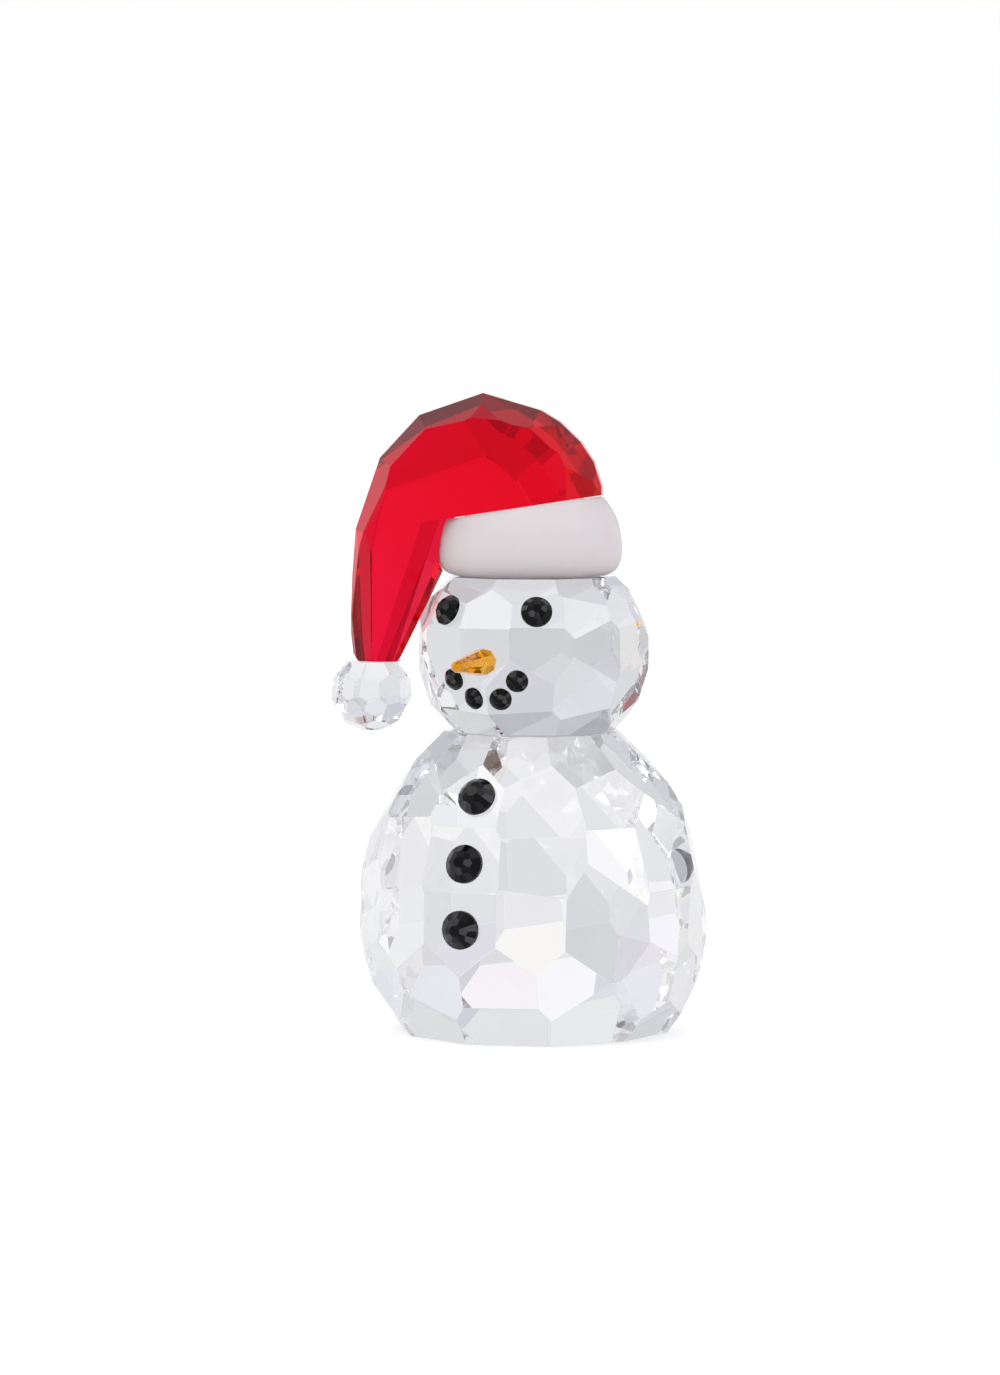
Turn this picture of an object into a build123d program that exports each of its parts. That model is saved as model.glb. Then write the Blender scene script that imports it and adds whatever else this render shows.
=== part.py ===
from build123d import *
import math
import os

# Faceted crystal snowman: clear cut body and head, frosted hat brim, red cut
# hat with a drooping tail, clear bead pompom, amber nose and black stones,
# all glued face to face.  Millimetres, +Z up, the face looks along -Y.

os.makedirs("parts", exist_ok=True)

# ------------------------------------------------------------ main dimensions
BOND = 0.10                 # thickness of the clear glue between cut glass
STONE_BOND = 0.08           # thinner film under the flat-backed stones

BODY_HEIGHT = 38.0          # resting face to neck face
HEAD_HEIGHT = 19.5          # neck face to crown face
HEAD_Z = BODY_HEIGHT + BOND
CROWN_Z = HEAD_Z + HEAD_HEIGHT
BRIM_Z = CROWN_Z + BOND

HAT_TURN = 20.0             # the hat's length lies this far round from +X
HAT_SHIFT = 0.4             # brim and hat sit this far toward the tail
BRIM_RADIUS = 11.65
BRIM_TOP_Z = 66.45          # height of the sloped brim top on the axis
BRIM_SLOPE = 8.7            # steepness of the brim's top
BRIM_UPHILL = 16.0          # it rises in this direction, measured from +X

POMPOM_RADIUS = 5.0
POMPOM_U = -20.6            # along the hat's length
POMPOM_Z = 42.8
TAIL_END_Z = 46.8           # flat end of the tail, glued to the pompom

BUTTON_DIAMETER = 4.8
EYE_DIAMETER = 3.9
MOUTH_DIAMETER = 2.8
BUTTON_PLACES = ((0.7, 14.8), (1.0, 22.8), (1.6, 30.8))
EYE_TURN = 27.0
EYE_Z = 53.6
MOUTH_PLACES = ((-19.8, 45.2), (-7.8, 42.9), (7.6, 42.9), (17.0, 45.2))
NOSE_Z = 47.5
NOSE_LENGTH = 9.4
NOSE_DIAMETER = 3.3
NOSE_DROOP = 1.5            # the nose points this far below level

# One row of facets: touch height, touch radius, tilt above the horizon,
# count, turn of the first facet, and how uneven the hand cutting is.
# Rows that carry stones start square to the front.
BODY_ROWS = (
    (1.9, 17.55, -34.0, 10, 14.0, 1.0),
    (7.3, 20.30, -16.0, 13, 13.8, 1.0),
    (14.8, 21.30, 1.0, 14, 0.0, 1.0),
    (22.8, 20.35, 14.0, 13, 0.0, 1.0),
    (30.0, 17.60, 31.0, 12, 0.0, 1.0),
    (35.0, 13.90, 44.0, 11, 16.4, 1.0),
)
HEAD_ROWS = (
    (39.9, 11.45, -41.0, 9, 20.0, 0.8),
    (43.9, 13.35, -17.0, 10, 18.0, 0.0),
    (48.9, 14.12, 0.0, 12, 0.0, 0.8),
    (53.4, 13.30, 24.0, 13, 0.0, 0.8),
    (56.4, 11.25, 45.0, 9, 20.0, 0.8),
)
POMPOM_ROWS = (
    (-62.0, 5, 20.0),
    (-30.0, 9, 8.0),
    (4.0, 10, 0.0),
    (38.0, 8, 15.0),
)


# --------------------------------------------------------------- cutting tools
def direction(turn, tilt):
    """Unit vector: turn is measured from -Y toward +X, tilt above the horizon."""
    a = math.radians(turn)
    e = math.radians(tilt)
    return Vector(math.sin(a) * math.cos(e), -math.cos(a) * math.cos(e), math.sin(e))


def facet_plane(turn, tilt, radius, z):
    """Facet touching the given radius and height, seen at the given turn."""
    a = math.radians(turn)
    point = Vector(radius * math.sin(a), -radius * math.cos(a), z)
    return Plane(origin=point, z_dir=direction(turn, tilt))


def grind(blank, plane):
    """Grind one flat: everything outside the plane is taken away."""
    return blank.split(plane, keep=Keep.BOTTOM)


def uneven(step, row, amount):
    """Small repeatable departure of hand-ground facets from the regular layout."""
    return amount * math.sin(2.4 * step + 1.7 * row + 0.6 * step * row)


def grind_row(blank, row_number, row):
    z, radius, tilt, count, start, rough = row
    for step in range(count):
        turn = start + 360.0 * step / count
        lean = tilt
        reach = radius
        seat = min(turn % 360, 360 - turn % 360) < 29
        if not seat:
            turn += uneven(step, row_number, 3.2 * rough)
            lean += uneven(step + 5, row_number, 2.2 * rough)
            reach += uneven(step + 9, row_number, 0.22 * rough)
        blank = grind(blank, facet_plane(turn, lean, reach, z))
    return blank


def seat_plane(row, turn):
    z, radius, tilt, count, start, rough = row
    return facet_plane(turn, tilt, radius, z)


def on_facet(plane, turn, z, lift):
    """Place on a facet plane under the given turn and height, lifted off it."""
    a = math.radians(turn)
    spoke = Vector(math.sin(a), -math.cos(a), 0)
    base = Vector(0, 0, z)
    reach = (plane.origin - base).dot(plane.z_dir) / spoke.dot(plane.z_dir)
    point = base + spoke * reach + plane.z_dir * lift
    sideways = Vector(0, 0, 1).cross(plane.z_dir)
    return Plane(origin=point, x_dir=sideways, z_dir=plane.z_dir)


def placed(solid, plane):
    return solid.moved(plane.location)


def cut_stone(diameter):
    """Flat-backed round stone: round girdle, two rows of facets and a table."""
    height = 0.40 * diameter
    girdle = 0.10 * diameter
    stone = Solid.make_cylinder(diameter / 2, height)
    for step in range(16):
        a = math.radians(22.5 * step + 11.25)
        rim = Vector(0.5 * diameter * math.cos(a), 0.5 * diameter * math.sin(a), girdle)
        tilt = math.radians(44)
        normal = Vector(math.cos(a) * math.cos(tilt), math.sin(a) * math.cos(tilt), math.sin(tilt))
        stone = grind(stone, Plane(origin=rim, z_dir=normal))
    for step in range(8):
        a = math.radians(45 * step)
        rim = Vector(0.14 * diameter * math.cos(a), 0.14 * diameter * math.sin(a), height)
        tilt = math.radians(58)
        normal = Vector(math.cos(a) * math.cos(tilt), math.sin(a) * math.cos(tilt), math.sin(tilt))
        stone = grind(stone, Plane(origin=rim, z_dir=normal))
    return stone


def film(radius, thickness):
    return Solid.make_cylinder(radius, thickness)


def save(shape, node):
    shape.label = node
    export_step(shape, "parts/" + node + ".step")


# ------------------------------------------------------------------------ body
body = Solid.make_cylinder(24, BODY_HEIGHT)
for number, row in enumerate(BODY_ROWS):
    body = grind_row(body, number, row)
save(body, "body")

# ------------------------------------------------------------------------ head
head = Solid.make_cylinder(17, HEAD_HEIGHT, Plane(origin=(0, 0, HEAD_Z)))
for number, row in enumerate(HEAD_ROWS):
    head = grind_row(head, number + 10, row)
save(head, "head")

save(film(9.3, BOND).moved(Location((0, 0, BODY_HEIGHT))), "neck_bond")

# ------------------------------------------------- black stones and their glue
button_rows = (BODY_ROWS[2], BODY_ROWS[3], BODY_ROWS[4])
buttons = []
button_films = []
for row, place in zip(button_rows, BUTTON_PLACES):
    turn, z = place
    facet = seat_plane(row, 0)
    button_films.append(placed(film(0.44 * BUTTON_DIAMETER, STONE_BOND), on_facet(facet, turn, z, 0)))
    buttons.append(placed(cut_stone(BUTTON_DIAMETER), on_facet(facet, turn, z, STONE_BOND)))
save(Compound(children=buttons), "buttons")
save(Compound(children=button_films), "button_bonds")

eye_step = 360.0 / HEAD_ROWS[3][3]
eyes = []
eye_films = []
for side in (-1, 1):
    facet = seat_plane(HEAD_ROWS[3], side * eye_step)
    eye_films.append(placed(film(0.44 * EYE_DIAMETER, STONE_BOND), on_facet(facet, side * EYE_TURN, EYE_Z, 0)))
    eyes.append(placed(cut_stone(EYE_DIAMETER), on_facet(facet, side * EYE_TURN, EYE_Z, STONE_BOND)))
save(Compound(children=eyes), "eyes")
save(Compound(children=eye_films), "eye_bonds")

mouth = []
mouth_films = []
for turn, z in MOUTH_PLACES:
    facet = seat_plane(HEAD_ROWS[1], math.copysign(HEAD_ROWS[1][4], turn))
    mouth_films.append(placed(film(0.44 * MOUTH_DIAMETER, STONE_BOND), on_facet(facet, turn, z, 0)))
    mouth.append(placed(cut_stone(MOUTH_DIAMETER), on_facet(facet, turn, z, STONE_BOND)))
save(Compound(children=mouth), "mouth")
save(Compound(children=mouth_films), "mouth_bonds")

# ------------------------------------------------------------------------ nose
# A slim carrot: eight long flats, a short collar at the root, a blunt point.
nose = Solid.make_cylinder(NOSE_DIAMETER, NOSE_LENGTH)
for step in range(8):
    a = math.radians(45 * step + 10)
    spoke = Vector(math.cos(a), math.sin(a), 0)
    flat_start = spoke * (0.49 * NOSE_DIAMETER) + Vector(0, 0, 1.0)
    nose = grind(nose, Plane(origin=flat_start, z_dir=spoke + Vector(0, 0, 0.132)))
for step in range(8):
    a = math.radians(45 * step + 32.5)
    spoke = Vector(math.cos(a), math.sin(a), 0)
    collar_start = spoke * (0.492 * NOSE_DIAMETER) + Vector(0, 0, 0.9)
    nose = grind(nose, Plane(origin=collar_start, z_dir=spoke - Vector(0, 0, 0.12)))
for step in range(6):
    a = math.radians(60 * step)
    spoke = Vector(math.cos(a), math.sin(a), 0)
    tip_start = spoke * 0.52 + Vector(0, 0, NOSE_LENGTH - 0.8)
    nose = grind(nose, Plane(origin=tip_start, z_dir=spoke + Vector(0, 0, 0.75)))
nose_place = on_facet(seat_plane(HEAD_ROWS[2], 0), 0, NOSE_Z, 0)
# the root is ground square to the head while the nose itself droops a little
nose = nose.moved(Location((0, 0, -0.3)))
nose = nose.rotate(Axis.X, NOSE_DROOP)
nose = grind(nose, Plane(origin=(0, 0, BOND), z_dir=(0, 0, -1)))
save(placed(nose, nose_place), "nose")
save(placed(film(1.3, BOND), nose_place), "nose_bond")


# ------------------------------------------------------------------- hat frame
# The hat is drawn lying along X (tail at -X, front at -Y) and then turned
# about the upright axis with the brim.
def turn_hat(solid):
    return solid.rotate(Axis.Z, HAT_TURN)


slope = math.radians(BRIM_SLOPE)
uphill = math.radians(BRIM_UPHILL - HAT_TURN)
slope_normal = Vector(-math.sin(slope) * math.cos(uphill), -math.sin(slope) * math.sin(uphill), math.cos(slope))
brim_top = Plane(origin=(0, 0, BRIM_TOP_Z), z_dir=slope_normal)
hat_under = Plane(origin=Vector(0, 0, BRIM_TOP_Z) + slope_normal * BOND, z_dir=slope_normal)

# ------------------------------------------------------------------------ brim
BULGE_Z = 61.9


def brim_blank(extra):
    """Round-edged disc before its top is sloped, grown all over by extra."""
    with BuildPart() as turned:
        with BuildSketch(Plane.XZ):
            with BuildLine():
                Line((0, BRIM_Z - extra), (8.7, BRIM_Z - extra))
                Spline(
                    (8.7, BRIM_Z - extra),
                    (BRIM_RADIUS + extra, BULGE_Z),
                    (8.6 + extra, 68.5),
                    tangents=((1, 0.0), (-0.92, 1)),
                )
                Line((8.6 + extra, 68.5), (0, 72.0))
                Line((0, 72.0), (0, BRIM_Z - extra))
            make_face()
        revolve(axis=Axis.Z)
    return turned.part.solid().moved(Location((-HAT_SHIFT, 0, 0)))


brim = brim_blank(0)
brim = grind(brim, brim_top)
top_edges = [e for e in brim.edges() if abs((e.center() - brim_top.origin).dot(slope_normal)) < 0.01]
brim = brim.fillet(0.8, top_edges)
save(turn_hat(brim), "brim")
save(film(8.3, BOND).moved(Location((0, 0, CROWN_Z))), "brim_bond")

# ------------------------------------------------------------------------- hat
CAP_MIDDLE = Vector(-7.0, 0, 65.9)
CAP_HALF_LENGTH = 15.8
CAP_HALF_DEPTH = 9.5
CAP_HALF_HEIGHT = 14.9

# Outline of the hat seen from the front: (direction faced, point on the edge).
HAT_EDGES = (
    (2.0, 8.8, 68.3),
    (18.0, 8.3, 70.5),
    (33.0, 7.0, 73.3),
    (46.0, 4.7, 76.0),
    (59.0, 2.1, 78.0),
    (73.5, -2.6, 79.7),
    (109.0, -10.2, 79.4),
    (137.0, -16.7, 75.4),
    (161.0, -20.9, 68.0),
    (175.0, -22.7, 60.7),
    (178.0, -23.1, 53.8),
    (221.0, -22.6, 47.3),
)

# Middles of the large front facets, mirrored to the back.
HAT_FACETS = (
    (-11.4, 77.3),
    (-5.5, 79.0),
    (0.3, 78.0),
    (2.9, 76.0),
    (-6.0, 75.2),
    (-13.3, 71.4),
    (-1.1, 73.0),
    (6.2, 71.9),
    (1.5, 70.2),
    (-7.3, 68.6),
    (6.6, 68.7),
    (-17.7, 67.4),
)


def cap_facet(u, z, side):
    """Flat touching the smooth egg of the cap where it stands over (u, z)."""
    along = (u - CAP_MIDDLE.X) / CAP_HALF_LENGTH
    up = (z - CAP_MIDDLE.Z) / CAP_HALF_HEIGHT
    out = math.sqrt(max(0.02, 1 - along * along - up * up))
    point = Vector(u, side * CAP_HALF_DEPTH * out, z)
    normal = Vector(along / CAP_HALF_LENGTH, side * out / CAP_HALF_DEPTH, up / CAP_HALF_HEIGHT)
    return Plane(origin=point, z_dir=normal)


hat_blank = Solid.make_box(40, 24, 44, Plane(origin=(-28, -12, 40)))
for faced, u, z in HAT_EDGES:
    a = math.radians(faced)
    hat_blank = grind(hat_blank, Plane(origin=(u, 0, z), z_dir=(math.cos(a), 0, math.sin(a))))
    # the narrow bevels beside the edge
    if z > 60:
        for side in (-1, 1):
            bevel = Vector(math.cos(a), side * 0.55, math.sin(a))
            hat_blank = grind(hat_blank, Plane(origin=(u, side * 1.6, z), z_dir=bevel))
for u, z in HAT_FACETS:
    for side in (-1, 1):
        hat_blank = grind(hat_blank, cap_facet(u, z, side))

# Long flats of the tail, front and back alike.  The ridge runs from the inner
# corner under the cap down to the lowest point of the tail.
RIDGE_TOP = Vector(-13.6, -6.0, 64.3)
RIDGE_END = Vector(-19.7, -2.9, TAIL_END_Z)
ridge = (RIDGE_END - RIDGE_TOP).normalized()


def tail_flat(facing, point):
    """Flat along the ridge; facing is measured from the front toward +X."""
    a = math.radians(facing)
    across = Vector(math.sin(a), -math.cos(a), 0)
    lean = -(across.X * ridge.X + across.Y * ridge.Y) / ridge.Z
    return Plane(origin=point, z_dir=Vector(across.X, across.Y, lean))


def mirrored(plane):
    o = plane.origin
    n = plane.z_dir
    return Plane(origin=Vector(o.X, -o.Y, o.Z), z_dir=Vector(n.X, -n.Y, n.Z))


# Way faced, tilt, and a point on the flat: first the one that breaks the broad
# side of the cap, then two columns of short flats round the outer side.
SIDE_FLATS = (
    (-16.0, 14.0, -12.0, -6.95, 71.0),
    (-38.0, 5.0, -18.2, -5.75, 68.0),
    (-31.0, -1.0, -19.9, -4.75, 62.5),
    (-41.0, -5.0, -20.3, -4.00, 57.0),
    (-33.0, -8.0, -20.5, -3.25, 51.0),
    (-58.0, 13.0, -20.8, -4.05, 66.0),
    (-67.0, 2.0, -21.9, -3.10, 60.0),
    (-57.0, -1.0, -22.2, -2.35, 54.0),
    (-66.0, -6.0, -22.35, -1.80, 49.5),
)
side_flats = [tail_flat(-9, RIDGE_TOP)]
for facing, tilt, u, v, z in SIDE_FLATS:
    side_flats.append(Plane(origin=(u, v, z), z_dir=direction(facing, tilt)))
for flat in side_flats:
    hat_blank = grind(hat_blank, flat)
    hat_blank = grind(hat_blank, mirrored(flat))

cap = hat_blank.split(hat_under, keep=Keep.TOP)

tail = hat_blank
strips = (
    tail_flat(15, RIDGE_TOP),
    tail_flat(42, RIDGE_TOP + Vector(1.8, 0.3, 0)),
)
for flat in strips:
    tail = grind(tail, flat)
    tail = grind(tail, mirrored(flat))
# the narrow bevel beside the head, then the hidden flat that faces the head
tail = grind(tail, tail_flat(66, RIDGE_TOP + Vector(2.9, 0, 0)))
tail = grind(tail, Plane(origin=(-13.5, -1.4, 54.0), z_dir=(0.97, 0.25, -0.48)))
# the tail is hollowed just enough to pass round the brim
tail = tail - brim_blank(0.12)
tail = grind(tail, Plane(origin=(-20, 0, TAIL_END_Z), z_dir=(0, 0, -1)))
hat = (cap + tail).clean()
save(turn_hat(hat), "hat")

film_middle = Vector(-HAT_SHIFT - 0.7, 0, 0)
film_middle.Z = BRIM_TOP_Z - (film_middle.X * slope_normal.X) / slope_normal.Z
hat_film_plane = Plane(origin=film_middle, z_dir=slope_normal)
save(turn_hat(placed(film(7.6, BOND), hat_film_plane)), "hat_bond")

# --------------------------------------------------------------------- pompom
pompom = Solid.make_sphere(POMPOM_RADIUS * 1.06)
for number, row in enumerate(POMPOM_ROWS):
    tilt, count, start = row
    for step in range(count):
        turn = start + 360.0 * step / count + uneven(step, number, 3.0)
        lean = tilt + uneven(step + 4, number, 2.0)
        normal = direction(turn, lean)
        pompom = grind(pompom, Plane(origin=normal * (0.955 * POMPOM_RADIUS), z_dir=normal))
pompom = grind(pompom, Plane(origin=(0, 0, -0.97 * POMPOM_RADIUS), z_dir=(0, 0, -1)))
pompom = grind(pompom, Plane(origin=(0, 0, TAIL_END_Z - BOND - POMPOM_Z), z_dir=(0, 0, 1)))
save(turn_hat(pompom.moved(Location((POMPOM_U, 0, POMPOM_Z)))), "pompom")
pompom_film = film(2.1, BOND).moved(Location((POMPOM_U + 0.5, 0, TAIL_END_Z - BOND)))
save(turn_hat(pompom_film), "pompom_bond")
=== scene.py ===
"""Looks of the cut-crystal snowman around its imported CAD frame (metres, +Z up)."""
import math

import bmesh
import bpy
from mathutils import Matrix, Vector


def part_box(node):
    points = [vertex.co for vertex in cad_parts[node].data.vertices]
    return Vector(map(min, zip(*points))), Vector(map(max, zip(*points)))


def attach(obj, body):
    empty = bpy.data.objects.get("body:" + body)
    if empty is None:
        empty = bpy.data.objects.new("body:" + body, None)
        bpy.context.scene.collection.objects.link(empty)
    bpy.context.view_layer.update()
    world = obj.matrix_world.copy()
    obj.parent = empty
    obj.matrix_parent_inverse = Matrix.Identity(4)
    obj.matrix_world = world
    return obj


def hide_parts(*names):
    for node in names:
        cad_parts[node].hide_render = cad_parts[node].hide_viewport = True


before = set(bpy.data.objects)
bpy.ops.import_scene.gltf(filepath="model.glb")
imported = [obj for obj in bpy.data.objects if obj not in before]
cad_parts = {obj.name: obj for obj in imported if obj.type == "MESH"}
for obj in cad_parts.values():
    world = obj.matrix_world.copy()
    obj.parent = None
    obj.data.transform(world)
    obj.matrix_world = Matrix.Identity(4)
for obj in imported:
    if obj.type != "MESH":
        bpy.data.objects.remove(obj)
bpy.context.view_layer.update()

scene = bpy.context.scene
MM = 0.001

CRYSTAL_IOR = 1.56          # cut crystal
GLUE_IOR = 1.5
JET_IOR = 1.6
FROSTED_IOR = 1.5

WELD = 0.002                # mm: corners nearer than this are one corner
SAME_FLAT = math.radians(1.0)       # faces turned less than this are one flat
SMOOTH_BELOW = math.radians(35)     # edges of the brim softer than this are smoothed
GROUND_EDGE = 0.03          # mm: width of the ground edge on the large pieces
NOSE_EDGE = 0.02            # mm
GLUE_OVERLAP = 0.012        # mm: each film reaches this far into both pieces
STONE_BACK_SHARE = 0.9      # backs are this near in size to the largest face


# ------------------------------------------------------------------- materials
class Recipe:
    """Short writing for node trees."""

    def __init__(self, name):
        self.material = bpy.data.materials.new(name)
        self.material.use_nodes = True
        self.tree = self.material.node_tree
        self.tree.nodes.clear()
        self.output = self.tree.nodes.new("ShaderNodeOutputMaterial")

    def node(self, kind, settings=None, **values):
        made = self.tree.nodes.new("ShaderNode" + kind)
        for key, value in (settings or {}).items():
            setattr(made, key, value)
        for key, value in values.items():
            made.inputs[key.replace("_", " ")].default_value = value
        return made

    def link(self, source, out, target, into):
        self.tree.links.new(source.outputs[out], target.inputs[into])

    def shader(self, **values):
        made = self.node("BsdfPrincipled", **values)
        self.link(made, "BSDF", self.output, "Surface")
        return made

    def object_space(self, scale=1.0):
        """Object coordinates in millimetres, times scale."""
        place = self.node("TexCoord")
        grow = self.node("Mapping")
        grow.inputs["Scale"].default_value = (1000 * scale,) * 3
        self.link(place, "Object", grow, "Vector")
        return grow

    def noise(self, place, scale, detail=3.0, roughness=0.55):
        made = self.node("TexNoise", Scale=scale, Detail=detail, Roughness=roughness)
        self.link(place, "Vector", made, "Vector")
        return made

    def ramp(self, source, out, stops):
        made = self.node("ValToRGB")
        elements = made.color_ramp.elements
        while len(elements) < len(stops):
            elements.new(0.5)
        for element, (where, colour) in zip(elements, stops):
            element.position = where
            element.color = (*colour, 1.0)
        self.link(source, out, made, "Fac")
        return made

    def spread(self, source, out, low, high):
        """Map 0.3..0.7 of a noise to low..high."""
        made = self.node("MapRange", From_Min=0.3, From_Max=0.7, To_Min=low, To_Max=high)
        self.link(source, out, made, "Value")
        return made

    def bump(self, source, out, distance, strength=1.0):
        made = self.node("Bump", Strength=strength, Distance=distance)
        self.link(source, out, made, "Height")
        return made

    def facet_tone_and_painted_light(self):
        """The steady tone number stored on each cut flat: a random tone, which on several pieces
        also holds painted light and shade.
        """
        return self.node("Attribute", {"attribute_name": "facet_tone_and_painted_light"})


def crystal(
    name,
    tints,
    ior=CRYSTAL_IOR,
    absorb=None,
    density=0.0,
    haze=(0.01, 0.05),
    wave=0.004,
    sheen=(1, 1, 1),
):
    """Clear or coloured cut glass: polished flats, each with its own faint tint, which on several
    pieces carries painted light and shade.

    absorb and density colour the glass by depth (density per metre), haze is the
    range of roughness, wave the depth of the ripple in mm, and sheen the colour
    of what the surface reflects.
    """
    r = Recipe(name)
    glass = r.shader(IOR=ior, Roughness=0.0)
    glass.inputs["Transmission Weight"].default_value = 1.0
    glass.inputs["Specular Tint"].default_value = (*sheen, 1.0)
    place = r.object_space()
    tint = r.ramp(r.facet_tone_and_painted_light(), "Fac", tints)
    r.link(tint, "Color", glass, "Base Color")
    wipe = r.noise(place, 0.35, 4.0)
    haze_map = r.spread(wipe, "Fac", *haze)
    r.link(haze_map, "Result", glass, "Roughness")
    ripple = r.noise(place, 0.16, 1.0)
    relief = r.bump(ripple, "Fac", wave * MM)
    r.link(relief, "Normal", glass, "Normal")
    if absorb:
        volume = r.node("VolumeAbsorption", Density=density)
        volume.inputs["Color"].default_value = (*absorb, 1.0)
        r.link(volume, "Volume", r.output, "Volume")
    return r.material


def frosted(name):
    """Acid-frosted white glass: fine even grain, light let a little way in, and a pink cast
    painted in for the red hat's light.
    """
    r = Recipe(name)
    skin = r.shader(IOR=FROSTED_IOR, Roughness=0.6)
    skin.inputs["Transmission Weight"].default_value = 0.35
    skin.inputs["Subsurface Weight"].default_value = 0.8
    skin.inputs["Subsurface Radius"].default_value = (9 * MM, 7 * MM, 7 * MM)
    skin.inputs["Subsurface Scale"].default_value = 1.0
    place = r.object_space()
    cloud = r.noise(place, 0.12, 3.0)
    tint = r.ramp(cloud, "Fac", FROST_TINTS_WITH_PAINTED_PINK_LIGHT)
    r.link(tint, "Color", skin, "Base Color")
    grain = r.noise(place, 9.0, 4.0, 0.7)
    matt = r.spread(grain, "Fac", 0.5, 0.7)
    r.link(matt, "Result", skin, "Roughness")
    relief = r.bump(grain, "Fac", 0.02 * MM, 0.6)
    r.link(relief, "Normal", skin, "Normal")
    return r.material


def jet(name):
    """Black cut glass with polished flats; the odd flat carries a painted dark grey reflection in
    its base colour.
    """
    r = Recipe(name)
    stone = r.shader(IOR=JET_IOR, Roughness=0.05)
    stone.inputs["Specular IOR Level"].default_value = 0.12
    place = r.object_space()
    tint = r.ramp(r.facet_tone_and_painted_light(), "Fac", JET_TINTS_WITH_PAINTED_GLINTS)
    r.link(tint, "Color", stone, "Base Color")
    wipe = r.noise(place, 1.2, 4.0)
    rubbed = r.spread(wipe, "Fac", 0.02, 0.07)
    r.link(rubbed, "Result", stone, "Roughness")
    ripple = r.noise(place, 0.9, 1.0)
    relief = r.bump(ripple, "Fac", 0.004 * MM)
    r.link(relief, "Normal", stone, "Normal")
    return r.material


def foil(name):
    """Silvery mirror coat on the flat backs of the stones, finely crinkled."""
    r = Recipe(name)
    coat = r.shader(Metallic=1.0, Roughness=0.3)
    place = r.object_space()
    crinkle = r.noise(place, 2.2, 4.0)
    tint = r.ramp(crinkle, "Fac", FOIL_TINTS)
    r.link(tint, "Color", coat, "Base Color")
    relief = r.bump(crinkle, "Fac", 0.01 * MM)
    r.link(relief, "Normal", coat, "Normal")
    return r.material


# Base colours: a ramp over each flat's tone number, or over a noise. Several ramps also carry
# painted light and shade, noted at each.
# Black glass: the grey top of this ramp is a painted reflection on random flats.
JET_TINTS_WITH_PAINTED_GLINTS = (
    (0.0, (0.0006, 0.0006, 0.0008)),
    (0.60, (0.0015, 0.0015, 0.002)),
    (0.85, (0.018, 0.018, 0.021)),
    (1.0, (0.065, 0.063, 0.07)),
)
# Clear glass: the greys of this ramp serve a random tone and also painted shade on steep flats and
# on the pompom bead.
CLEAR_TINTS_WITH_PAINTED_SHADE = (
    (0.0, (0.53, 0.54, 0.565)),
    (0.25, (0.72, 0.725, 0.745)),
    (0.7, (0.885, 0.885, 0.90)),
    (1.0, (0.98, 0.965, 0.96)),
)
# Red glass: the dark end of this ramp is painted shade and the pink top is a painted highlight,
# laid on the hat's flats by the way they face.
RED_TINTS_WITH_PAINTED_LIGHT = (
    (0.0, (0.19, 0.0008, 0.010)),
    (0.30, (0.38, 0.0015, 0.022)),
    (0.60, (0.74, 0.002, 0.04)),
    (0.85, (0.92, 0.004, 0.06)),
    (1.0, (0.97, 0.15, 0.20)),
)
AMBER_TINTS = ((0.0, (1.0, 0.34, 0.008)), (1.0, (1.0, 0.68, 0.05)))
GLUE_TINTS = ((0.0, (0.93, 0.93, 0.93)), (1.0, (0.98, 0.98, 0.98)))
# Frosted glass: the pink in these tints is painted light from the red hat; the cloud noise between
# them is the glass's own unevenness.
FROST_TINTS_WITH_PAINTED_PINK_LIGHT = ((0.3, (0.985, 0.84, 0.86)), (0.7, (0.99, 0.91, 0.92)))
FOIL_TINTS = ((0.3, (0.78, 0.78, 0.80)), (0.7, (0.90, 0.90, 0.91)))

clear_crystal = crystal("clear_crystal", CLEAR_TINTS_WITH_PAINTED_SHADE, haze=(0.0, 0.02), wave=0.002)
red_crystal = crystal(
    "red_crystal",
    RED_TINTS_WITH_PAINTED_LIGHT,
    absorb=(0.95, 0.03, 0.12),
    density=110.0,
    haze=(0.04, 0.08),
    sheen=(0.85, 0.11, 0.17),
)
amber_crystal = crystal(
    "amber_crystal",
    AMBER_TINTS,
    absorb=(0.999, 0.76, 0.05),
    density=90.0,
    sheen=(1, 0.6, 0.12),
)
frosted_glass = frosted("frosted_glass")
black_crystal = jet("black_crystal")
clear_glue = crystal("clear_glue", GLUE_TINTS, GLUE_IOR, wave=0.01)
stone_foil = foil("stone_foil")


# ---------------------------------------------------------------------- pieces
def chance(middle):
    """Number from 0 to 1 for a flat, fixed by where its middle is in mm."""
    return 0.5 + 0.5 * math.sin(1.9 * middle.x + 2.7 * middle.y + 3.3 * middle.z)


def plain_tone(middle, normal):
    return chance(middle)


def clear_tone_with_painted_shade(middle, normal):
    """Random tone, plus painted shade: flats that slope steeply are painted greyer and more alike
    than upright ones.
    """
    slope = normal.z**2
    return 0.62 - 0.70 * slope + 0.95 * (1 - slope) * (chance(middle) - 0.5)


def bead_tone_with_painted_shade(middle, normal):
    """Painted shade: the pompom bead is painted a touch greyer all round than the large pieces,
    with a random tone on top.
    """
    return 0.40 + 0.50 * (chance(middle) - 0.5)


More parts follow.
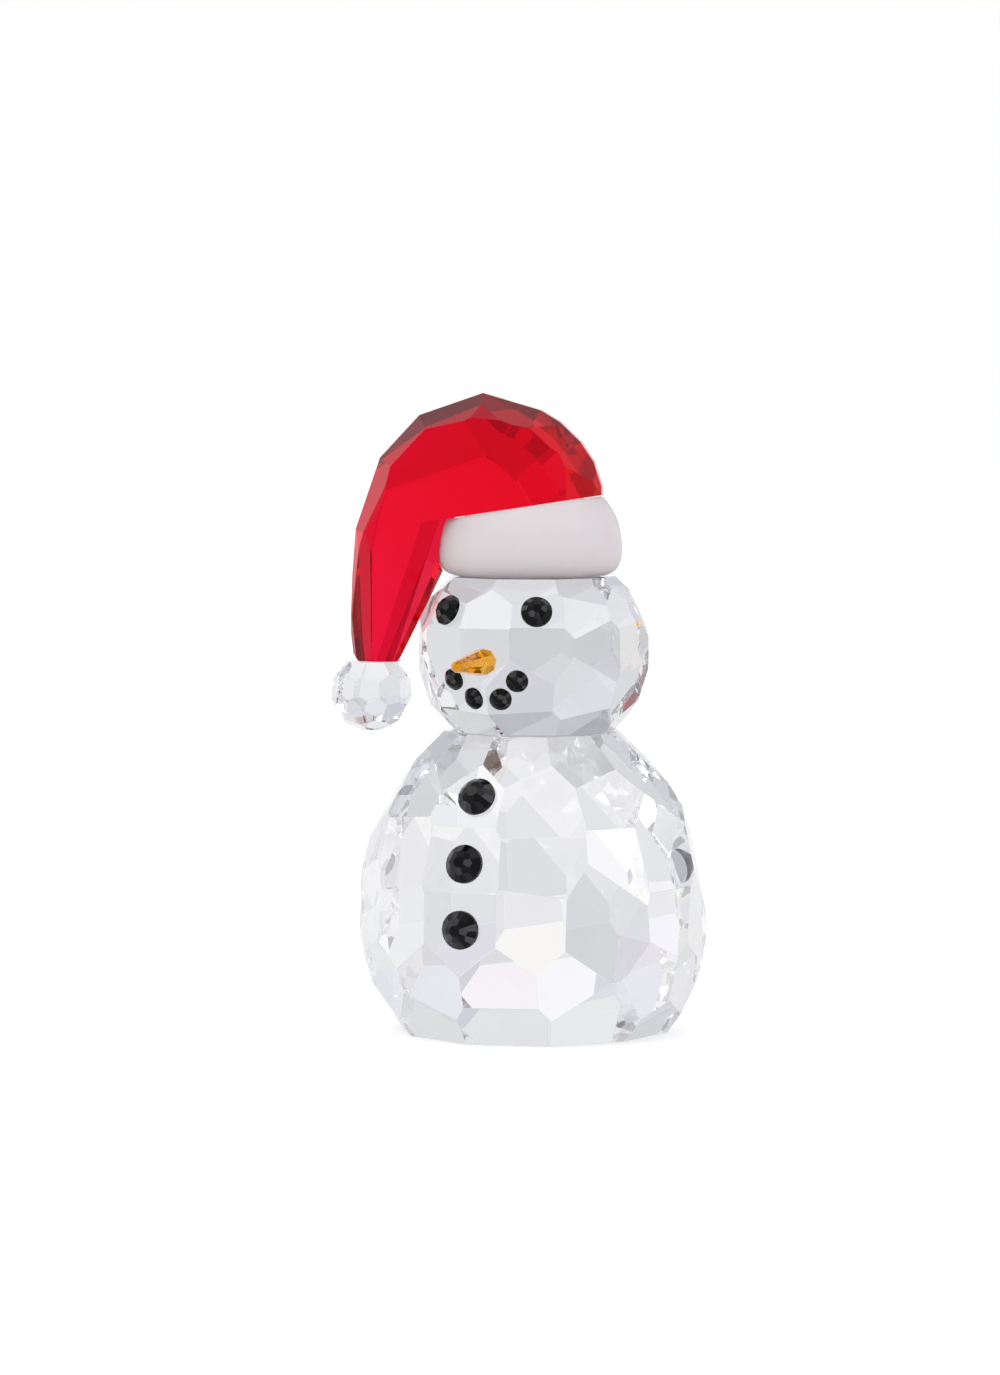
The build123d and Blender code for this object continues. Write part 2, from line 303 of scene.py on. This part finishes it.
# Painted light and shade on the hat's upright flats: strength of colour by the way they face,
# in degrees from the broad side toward the head.  The second table is for the tail.
HAT_PAINTED_LIGHT_BY_FACING = (
    (-90, 0.95),
    (-66, 0.90),
    (-57, 0.60),
    (-41, 0.56),
    (-32, 0.68),
    (-20, 0.72),
    (-9, 0.84),
    (10, 0.80),
    (35, 0.90),
    (60, 0.98),
)
TAIL_PAINTED_LIGHT_BY_FACING = ((4, 0.80), (15, 0.28), (42, 1.0), (66, 0.05), (90, 0.1))


TAIL_BELOW_Z = 63           # mm

pompom_low, pompom_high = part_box("pompom")
brim_low, brim_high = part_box("brim")
hat_inward = (brim_low + brim_high) / 2 - (pompom_low + pompom_high) / 2
hat_inward.z = 0
hat_inward.normalize()
hat_sideways = Vector((hat_inward.y, -hat_inward.x, 0))


def read_off(table, at):
    """Value between the neighbouring rows of a table."""
    if at <= table[0][0]:
        return table[0][1]
    for (x0, y0), (x1, y1) in zip(table, table[1:]):
        if at <= x1:
            return y0 + (y1 - y0) * (at - x0) / (x1 - x0)
    return table[-1][1]


def hat_tone_with_painted_light(middle, normal):
    """Red flats with painted light and shade: full colour on the broad sides, painted darker over
    the crown, plus a random tone.
    """
    crown = max(0.0, normal.z) ** 1.3
    along = normal.dot(hat_inward)
    across = abs(normal.dot(hat_sideways))
    facing = math.degrees(math.atan2(along, across))
    tail_inside = middle.z < TAIL_BELOW_Z and facing > 0
    table = TAIL_PAINTED_LIGHT_BY_FACING if tail_inside else HAT_PAINTED_LIGHT_BY_FACING
    return read_off(table, facing) - 0.95 * crown + 0.36 * (chance(middle) - 0.5)


def cad_copy(node):
    """The CAD piece's mesh as an editable shape with its seams closed up."""
    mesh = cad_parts[node].data.copy()
    shape = bmesh.new()
    shape.from_mesh(mesh)
    bmesh.ops.remove_doubles(shape, verts=shape.verts, dist=WELD * MM)
    return mesh, shape


def add_piece(mesh, shape, node, name, material):
    """Put the finished shape into the scene in place of the CAD node."""
    shape.to_mesh(mesh)
    shape.free()
    mesh.name = name
    mesh.materials.clear()
    mesh.materials.append(material)
    for layer in list(mesh.uv_layers):
        mesh.uv_layers.remove(layer)
    piece = bpy.data.objects.new(name, mesh)
    scene.collection.objects.link(piece)
    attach(piece, "root")
    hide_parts(node)
    return piece


def faceted(node, name, material, edge=0.0, grow=0.0, tone=plain_tone):
    """A cut piece: whole polygons for its flats, hair-fine ground edges."""
    mesh, shape = cad_copy(node)
    bmesh.ops.dissolve_limit(
        shape,
        angle_limit=SAME_FLAT,
        verts=shape.verts,
        edges=shape.edges,
        use_dissolve_boundaries=False,
    )
    if grow:
        shape.normal_update()
        moves = [(v, v.normal * grow * MM) for v in shape.verts]
        for v, step in moves:
            v.co += step
    if edge:
        bmesh.ops.bevel(
            shape,
            geom=list(shape.edges),
            offset=edge * MM,
            offset_type="OFFSET",
            segments=1,
            profile=0.5,
            affect="EDGES",
            clamp_overlap=True,
        )
    bmesh.ops.recalc_face_normals(shape, faces=shape.faces)
    # Each flat's tone: random, with painted light and shade added by the tone functions of several
    # pieces.
    tones = shape.faces.layers.float.new("facet_tone_and_painted_light")
    for face in shape.faces:
        face[tones] = tone(face.calc_center_median() / MM, face.normal)
        face.smooth = False
        face.material_index = 0
    return add_piece(mesh, shape, node, name, material)


def rounded(node, name, material):
    """A smooth piece: soft shading across its curved skin."""
    mesh, shape = cad_copy(node)
    for face in shape.faces:
        face.smooth = True
        face.material_index = 0
    for edge in shape.edges:
        edge.smooth = len(edge.link_faces) == 2 and edge.calc_face_angle(0) < SMOOTH_BELOW
    return add_piece(mesh, shape, node, name, material)


def back_with_foil(piece):
    """The flat back is the largest face of each stone: it gets the foil."""
    mesh = piece.data
    mesh.materials.append(stone_foil)
    largest = max(face.area for face in mesh.polygons)
    for face in mesh.polygons:
        if face.area > STONE_BACK_SHARE * largest:
            face.material_index = 1


for part in ("body", "head"):
    faceted(
        part, "crystal_" + part, clear_crystal, GROUND_EDGE, tone=clear_tone_with_painted_shade
    )
faceted("pompom", "crystal_pompom", clear_crystal, GROUND_EDGE, tone=bead_tone_with_painted_shade)
faceted("hat", "red_hat", red_crystal, tone=hat_tone_with_painted_light)
faceted("nose", "amber_nose", amber_crystal, NOSE_EDGE)
for bond in (
    "neck_bond",
    "brim_bond",
    "hat_bond",
    "pompom_bond",
    "nose_bond",
    "button_bonds",
    "eye_bonds",
    "mouth_bonds",
):
    faceted(bond, bond + "_glue", clear_glue, grow=GLUE_OVERLAP)
rounded("brim", "frosted_brim", frosted_glass)
for stones in ("eyes", "mouth", "buttons"):
    back_with_foil(faceted(stones, "black_" + stones, black_crystal))


# ---------------------------------------------------------------------- camera
VIEW_TURN = math.radians(25.5)      # the camera stands this far round to the right
CAMERA_DISTANCE = 600 * MM          # level distance from the point it aims at
CAMERA_HEIGHT = 82 * MM
AIM = Vector((-3.77, -1.80, 43.48)) * MM
LENS = 124.1                        # mm, on a 36 mm wide sensor

toward_camera = Vector((math.sin(VIEW_TURN), -math.cos(VIEW_TURN), 0))
camera_data = bpy.data.cameras.new("camera")
camera_data.lens = LENS
camera_data.sensor_width = 36
camera = bpy.data.objects.new("camera", camera_data)
camera.location = AIM + toward_camera * CAMERA_DISTANCE
camera.location.z = CAMERA_HEIGHT
camera.rotation_euler = (AIM - camera.location).to_track_quat("-Z", "Y").to_euler()
camera_data.clip_start = 0.01
camera_data.clip_end = 20
scene.collection.objects.link(camera)
scene.camera = camera


# ----------------------------------------------------------------------- stage
FLOOR_HALF = 4.0            # m
FLOOR_DROP = 0.02 * MM      # keeps the floor clear of the resting face
FALL_FROM = 0.03            # m in front of the axis: the light starts to fall away
FALL_TO = 0.30


def make_floor():
    """White sweep: bright where it is looked at, calmer in what the glass shows of
    it, and dimmer in front of the object, where the studio light falls away."""
    mesh = bpy.data.meshes.new("floor")
    corners = ((-1, -1), (1, -1), (1, 1), (-1, 1))
    mesh.from_pydata([(FLOOR_HALF * x, FLOOR_HALF * y, 0) for x, y in corners], [], [(0, 1, 2, 3)])
    floor = bpy.data.objects.new("floor", mesh)
    r = Recipe("floor")
    where = r.node("NewGeometry")
    nearer = r.node("VectorMath", {"operation": "DOT_PRODUCT"})
    nearer.inputs[1].default_value = toward_camera
    r.link(where, "Position", nearer, 0)
    fall = r.node("MapRange", From_Min=FALL_FROM, From_Max=FALL_TO, To_Min=0.97, To_Max=0.72)
    r.link(nearer, "Value", fall, "Value")
    shaded = r.node("BsdfDiffuse")
    r.link(fall, "Result", shaded, "Color")
    glow = r.node("Emission", Strength=0.95)
    r.link(fall, "Result", glow, "Color")
    calm = r.node("MixShader", Fac=0.5)
    r.link(shaded, "BSDF", calm, 1)
    r.link(glow, "Emission", calm, 2)
    paper = r.node("BsdfDiffuse", Color=(0.8, 0.8, 0.8, 1))
    lift = r.node("Emission", Color=(1, 1, 1, 1), Strength=0.42)
    bright = r.node("AddShader")
    r.link(paper, "BSDF", bright, 0)
    r.link(lift, "Emission", bright, 1)
    seen = r.node("LightPath")
    pick = r.node("MixShader")
    r.link(seen, "Is Camera Ray", pick, "Fac")
    r.link(calm, "Shader", pick, 1)
    r.link(bright, "Shader", pick, 2)
    r.link(pick, "Shader", r.output, "Surface")
    mesh.materials.append(r.material)
    floor.location.z = -FLOOR_DROP
    scene.collection.objects.link(floor)


# Brightness of the room from straight behind the object (0) to the camera (1).
ROOM_BEHIND = (0.90, 0.91, 0.935, 1)
ROOM_LEVELS = ((0.30, 0.90), (0.58, 0.98), (0.70, 0.91), (0.84, 0.80))
ROOM_BY_CAMERA = (0.70, 0.70, 0.715, 1)
FIRE = 0.085                # how strongly colour plays over the room


def make_studio_world():
    """White backdrop.  The room round it is bright behind and dimmer on the
    camera's side, with faint colours that the cut glass picks up as fire."""
    world = bpy.data.worlds.new("studio")
    scene.world = world
    world.use_nodes = True
    tree = world.node_tree
    tree.nodes.clear()

    def node(kind, **values):
        made = tree.nodes.new("ShaderNode" + kind)
        for key, value in values.items():
            made.inputs[key.replace("_", " ")].default_value = value
        return made

    link = tree.links.new
    ways = node("TexCoord")
    dot = node("VectorMath")
    dot.operation = "DOT_PRODUCT"
    dot.inputs[1].default_value = toward_camera
    link(ways.outputs["Generated"], dot.inputs[0])
    remap = node("MapRange", From_Min=-1.0)
    link(dot.outputs["Value"], remap.inputs["Value"])
    shade = node("ValToRGB")
    link(remap.outputs["Result"], shade.inputs["Fac"])
    stops = shade.color_ramp.elements
    stops[0].color = ROOM_BEHIND
    stops[1].color = ROOM_BY_CAMERA
    for where, level in ROOM_LEVELS:
        stops.new(where).color = (level, level * 1.008, level * 1.035, 1)
    fire = node("TexNoise", Scale=2.6, Detail=1.0)
    link(ways.outputs["Generated"], fire.inputs["Vector"])
    vivid = node("HueSaturation", Saturation=1.2, Value=1.9)
    link(fire.outputs["Color"], vivid.inputs["Color"])
    blend = node("Mix")
    blend.data_type = "RGBA"
    blend.blend_type = "MULTIPLY"
    blend.inputs["Factor"].default_value = FIRE
    link(shade.outputs["Color"], blend.inputs["A"])
    link(vivid.outputs["Color"], blend.inputs["B"])
    panels = node("TexNoise", Scale=3.4, Detail=0.0)
    link(ways.outputs["Generated"], panels.inputs["Vector"])
    level = node("MapRange", From_Min=0.35, From_Max=0.65, To_Min=0.88, To_Max=1.08)
    link(panels.outputs["Fac"], level.inputs["Value"])
    room = node("Background")
    link(blend.outputs["Result"], room.inputs["Color"])
    link(level.outputs["Result"], room.inputs["Strength"])
    backdrop = node("Background", Color=(1, 1, 1, 1))
    seen = node("LightPath")
    pick = node("MixShader")
    link(seen.outputs["Is Camera Ray"], pick.inputs["Fac"])
    link(room.outputs["Background"], pick.inputs[1])
    link(backdrop.outputs["Background"], pick.inputs[2])
    link(pick.outputs["Shader"], node("OutputWorld").inputs["Surface"])


right_way = Vector((math.cos(VIEW_TURN), math.sin(VIEW_TURN), 0))
LIT_POINT = Vector((0, 0, 45)) * MM


def softbox(name, right, near, up, size, power):
    """Soft rectangular light, placed in metres as the camera sees the studio."""
    light = bpy.data.lights.new(name, "AREA")
    light.shape = "RECTANGLE"
    light.size, light.size_y = size
    light.energy = power
    lamp = bpy.data.objects.new(name, light)
    lamp.location = right_way * right + toward_camera * near + Vector((0, 0, up))
    aim = LIT_POINT - lamp.location
    lamp.rotation_euler = aim.to_track_quat("-Z", "Y").to_euler()
    scene.collection.objects.link(lamp)


make_floor()
make_studio_world()
softbox("key_light", -0.55, 0.45, 0.75, (0.5, 0.5), 2.0)
softbox("fill_light", 0.75, 0.35, 0.45, (0.25, 0.6), 1.0)
softbox("top_light", 0.0, -0.1, 1.1, (0.9, 0.9), 0.8)


# -------------------------------------------------------------------- settings
scene.view_settings.view_transform = "Standard"
scene.view_settings.look = "None"
# Light caught inside the cut glass turns black if its bounces run out.
GLASS_BOUNCES = 64
scene.cycles.max_bounces = GLASS_BOUNCES
scene.cycles.transmission_bounces = GLASS_BOUNCES
scene.cycles.glossy_bounces = GLASS_BOUNCES
scene.cycles.diffuse_bounces = 4
scene.cycles.volume_bounces = 0
scene.cycles.transparent_max_bounces = 16
scene.cycles.sample_clamp_indirect = 8.0
scene.cycles.blur_glossy = 0.5
